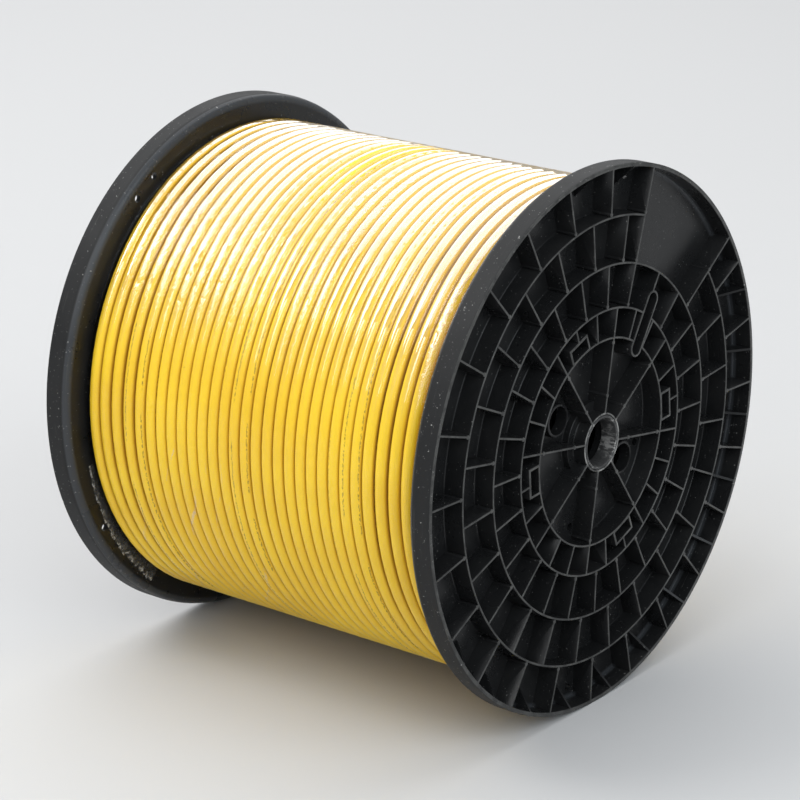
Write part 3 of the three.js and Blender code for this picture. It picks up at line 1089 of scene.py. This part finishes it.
class REEL_OT_inner_layers(bpy.types.Operator):
    """Winds the inner layers of the cable, each in the grooves of the one below"""

    bl_idname = "reel.inner_layers"
    bl_label = "Inner layers"

    def execute(self, context):
        sizes = context.scene.reel_winding
        finish = sheath_finish(sizes.sheath)
        pitch = (2 * CABLE_FACE - 1.5 * sizes.cable) / (sizes.turns - 1)
        for layer, node in enumerate(LAYERS[:-1]):
            start = -CABLE_FACE + sizes.cable / 2 + (layer % 2) * pitch / 2 * 0.98
            round_section = section(sizes.cable / 2 - 0.05 * MM, INNER_LAYER_SIDES)
            outline = [(r, y + start) for r, y in round_section]
            radius = layer_radius(layer, sizes)
            piece = helix(node, outline, True, radius, pitch, sizes.turns - 1, INNER_LAYER_STEPS)
            write_lay(piece, INNER_LAYER_SIDES, INNER_LAYER_STEPS, radius, layer)
            close_ends(piece)
            finished(piece, "winding_" + node[-2:], finish, [node], 60)
        return {"FINISHED"}


def write_lay(piece, sides, steps, radius, layer):
    """Stores, at each point, its run along the cable and its place round the section."""
    dashes_period = 17.3  # metres of cable in which the row of dashes goes once round it
    run, outward, twist = [], [], []
    for index in range(len(piece.data.vertices)):
        ring, corner = divmod(index, sides)
        along = 2 * math.pi * radius * ring / steps
        around = 2 * math.pi * corner / sides
        wander = 2 * math.pi * (along / dashes_period + 0.37 * layer)
        run.append(along)
        outward.append(math.cos(around))
        twist.append((around - wander + math.pi) % (2 * math.pi) - math.pi)
    store(piece, "run", run)
    store(piece, "outward", outward)
    store(piece, "twist", twist)


class REEL_OT_outer_layer(bpy.types.Operator):
    """Winds the outer layer of the cable, turn by turn, a little unevenly as a real one lies"""

    bl_idname = "reel.outer_layer"
    bl_label = "Outer layer"

    def execute(self, context):
        sizes = context.scene.reel_winding
        layer = len(LAYERS) - 1
        radius = layer_radius(layer, sizes)
        outline = section(sizes.cable / 2 - 0.05 * MM, OUTER_LAYER_SIDES)
        piece = helix("winding", outline, True, radius, sizes.cable, sizes.turns - 1, OUTER_LAYER_STEPS)
        write_lay(piece, OUTER_LAYER_SIDES, OUTER_LAYER_STEPS, radius, layer)
        for index, vertex in enumerate(piece.data.vertices):
            number = (index // OUTER_LAYER_SIDES) / OUTER_LAYER_STEPS
            settle(vertex, number, number * sizes.cable, sizes)
        close_ends(piece)
        finish = sheath_finish(sizes.sheath)
        finished(piece, "winding_" + LAYERS[-1][-2:], finish, [LAYERS[-1]], 60)
        return {"FINISHED"}


def settle(vertex, number, wound, sizes):
    """Moves a point of an evenly wound layer to where its turn really lies."""
    place, sunk = laid(number, sizes)
    vertex.co -= outwards(vertex.co) * sunk
    vertex.co.y += place - wound


# ---------------------------------------------------------------- film


# Where the film is wrinkled: middle angle in degrees, y, half the angle and half the width
WRINKLES = (
    (120, -57 * MM, 26, 7 * MM),
    (131, -36 * MM, 33, 9 * MM),
    (138, 118 * MM, 17, 100 * MM),
    (144, -218 * MM, 16, 8 * MM),
)


def folds(count, seed):
    """Creases of the film: middle angle and y, slope, length, width and height of each."""
    draw = random.Random(seed)
    made = []
    for number in range(count):
        low = number % 3 > 0
        made.append(
            {
                "angle": draw.uniform(185, 240) if low else draw.uniform(0, 360),
                "y": draw.uniform(0.1, 0.9 if low else 0.2) * CABLE_FACE,
                "slope": draw.uniform(0.15, 0.5),
                "length": draw.uniform(0.04, 0.14),
                "width": draw.uniform(1.2, 2.6) * MM,
                "height": draw.uniform(0.3, 1.0),
            }
        )
    return made


def wrinkle_at(angle, y):
    """How wrinkled the film is at an angle and a place along the axis, from 0 to 1."""
    most = 0.0
    for middle, place, reach, width in WRINKLES:
        along = abs((angle - middle + 180) % 360 - 180) / reach
        across = abs(y - place) / width
        most = max(most, eased(along, 1.1, 0.6) * eased(across, 1.2, 0.7))
    return most


def crease_at(angle, y, radius, creases):
    """How high the film's creases stand at an angle and a place along the axis, from 0 to 1."""
    height = 0.0
    for crease in creases:
        along = math.radians((angle - crease["angle"] + 180) % 360 - 180) * radius
        if abs(along) > crease["length"]:
            continue
        middle = crease["y"] + crease["slope"] * along + 4 * MM * math.sin(along * 70)
        across = (y - middle) / crease["width"]
        if abs(across) < 3:
            fade = 1 - (along / crease["length"]) ** 2
            height = max(height, crease["height"] * fade * math.exp(-across * across))
    return height


def tucked(over, winding):
    """How far the film drops round the shoulder of an end turn, past its crest by a share of a turn."""
    return winding.cable / 2 * (1 - math.sqrt(max(0.0, 1 - (2 * over) ** 2)))


def crest_radius(winding):
    """From the axis to the film where it lies on the crest of a turn."""
    return layer_radius(len(LAYERS) - 1, winding) + winding.cable / 2 + 0.1 * MM


def wrapped(winding, sag):
    """The film's sheet, a strip of FILM_STRIPS quads over each turn, from crest to crest."""
    shares = [k / FILM_STRIPS - 0.5 for k in range(FILM_STRIPS + 1)]
    pitch = winding.cable
    outline = [(-sag * (0.5 - 0.5 * math.cos(2 * math.pi * s)), s * pitch) for s in shares]
    piece = helix("film", outline, False, crest_radius(winding), pitch, winding.turns + 1, FILM_STEPS)
    crests = []
    limit = CABLE_FACE - 0.5 * MM
    for index, vertex in enumerate(piece.data.vertices):
        ring, place = divmod(index, FILM_STRIPS + 1)
        number = ring / FILM_STEPS
        share = shares[place]
        # The crest share, moved a little towards the near side, places the bands of the film's painted
        # highlight.
        crests.append(0.5 + 0.5 * math.cos(2 * math.pi * (share + 0.06)))
        under = max(0.0, min(winding.turns - 1.0, number - 1 + share))
        settle(vertex, under, (number + share) * pitch, winding)
        over = max(-0.5, min(0.5, number - 1 + share - under))
        vertex.co += Vector((0, over * pitch, 0)) - outwards(vertex.co) * tucked(over, winding)
        vertex.co.y = max(-limit, min(limit, vertex.co.y))
    store(piece, "crest", crests)
    open_mesh(piece)
    bpy.ops.mesh.remove_doubles(threshold=2e-5)
    bpy.ops.mesh.dissolve_degenerate(threshold=2e-5)
    close_mesh()
    return piece


class REEL_OT_film(bpy.types.Operator):
    """Stretches the film over the outer layer: tight on the crests, sunk and creased between them"""

    bl_idname = "reel.film"
    bl_label = "Film"

    def execute(self, context):
        winding = context.scene.reel_winding
        sizes = context.scene.reel_film
        piece = wrapped(winding, sizes.sag)
        radius = crest_radius(winding)
        creases = folds(24, 7)
        heights, wrinkles = [], []
        for vertex in piece.data.vertices:
            angle = math.degrees(math.atan2(vertex.co.z, vertex.co.x)) % 360
            height = crease_at(angle, vertex.co.y, radius, creases)
            heights.append(height)
            wrinkles.append(wrinkle_at(angle, vertex.co.y))
            vertex.co += outwards(vertex.co) * height * sizes.crease
        store(piece, "crease", heights)
        store(piece, "wrinkle", wrinkles)
        open_mesh(piece)
        bpy.ops.mesh.normals_make_consistent(inside=False)
        close_mesh()
        walled(piece, sizes.thickness, 1)
        finished(piece, "film_skin", film_finish(), ["film_wrap"], 60)
        return {"FINISHED"}


class REEL_OT_torn_film(bpy.types.Operator):
    """Lays the film's torn end on the far flange's cable face, low beside the winding"""

    bl_idname = "reel.torn_film"
    bl_label = "Torn film"

    def execute(self, context):
        draw = random.Random(11)
        crest = layer_radius(len(LAYERS) - 1, context.scene.reel_winding)
        limit = FLANGE_RADIUS - context.scene.reel_flange.rim_round
        steps, rows = 72, 4
        bpy.ops.mesh.primitive_grid_add(x_subdivisions=steps, y_subdivisions=rows, size=2)
        piece = context.object
        reaches = [draw.uniform(-1, 1) for _ in range(steps + 1)]
        lifts = [draw.uniform(0, 1) for _ in range((steps + 1) * (rows + 1))]
        nearness = []
        for vertex, lift in zip(piece.data.vertices, lifts):
            share, row = (vertex.co.x + 1) / 2, (vertex.co.y + 1) / 2
            column = round(share * steps)
            ragged = 0.6 * reaches[column] + 0.8 * reaches[column // 5]
            width = (9 + 12.5 * share + 2.2 * ragged * eased(share, 0, 0.25)) * MM
            radius = min(crest + width * row, limit)
            height = (0.35 + (0.3 + 1.2 * row) * lift) * MM
            vertex.co = at(radius, TORN_START + TORN_SWEEP * share, CABLE_FACE - height)
            nearness.append(row)
        store(piece, "edge", nearness)
        face_outwards(piece)
        walled(piece, 0.1 * MM, -1)
        finished(piece, "film_torn_end", torn_finish(), [], 60)
        return {"FINISHED"}


# ---------------------------------------------------------------- panel and start


OPERATORS = (
    REEL_OT_stage,
    REEL_OT_flanges,
    REEL_OT_bushes,
    REEL_OT_barrel,
    REEL_OT_inner_layers,
    REEL_OT_outer_layer,
    REEL_OT_film,
    REEL_OT_torn_film,
)


class REEL_PT_panel(bpy.types.Panel):
    """The reel's sizes and colours, and the steps that model it"""

    bl_idname = "REEL_PT_panel"
    bl_label = "Cable Reel"
    bl_space_type = "VIEW_3D"
    bl_region_type = "UI"
    bl_category = "Cable Reel"

    def draw(self, context):
        for group in (context.scene.reel_flange, context.scene.reel_winding, context.scene.reel_film):
            box = self.layout.box()
            for name in group.__annotations__:
                box.prop(group, name)
        for operator in OPERATORS:
            self.layout.operator(operator.bl_idname)


GROUPS = (("reel_flange", FlangeSizes), ("reel_winding", WindingSizes), ("reel_film", FilmSizes))


def register():
    for name, group in GROUPS:
        bpy.utils.register_class(group)
        setattr(bpy.types.Scene, name, bpy.props.PointerProperty(type=group))
    for operator in OPERATORS:
        bpy.utils.register_class(operator)
    bpy.utils.register_class(REEL_PT_panel)


def unregister():
    bpy.utils.unregister_class(REEL_PT_panel)
    for operator in reversed(OPERATORS):
        bpy.utils.unregister_class(operator)
    for name, group in reversed(GROUPS):
        delattr(bpy.types.Scene, name)
        bpy.utils.unregister_class(group)


def main():
    register()
    bpy.ops.reel.stage()
    bpy.ops.reel.flanges()
    bpy.ops.reel.bushes()
    bpy.ops.reel.barrel()
    bpy.ops.reel.inner_layers()
    bpy.ops.reel.outer_layer()
    bpy.ops.reel.film()
    bpy.ops.reel.torn_film()


if __name__ == "__main__":
    main()
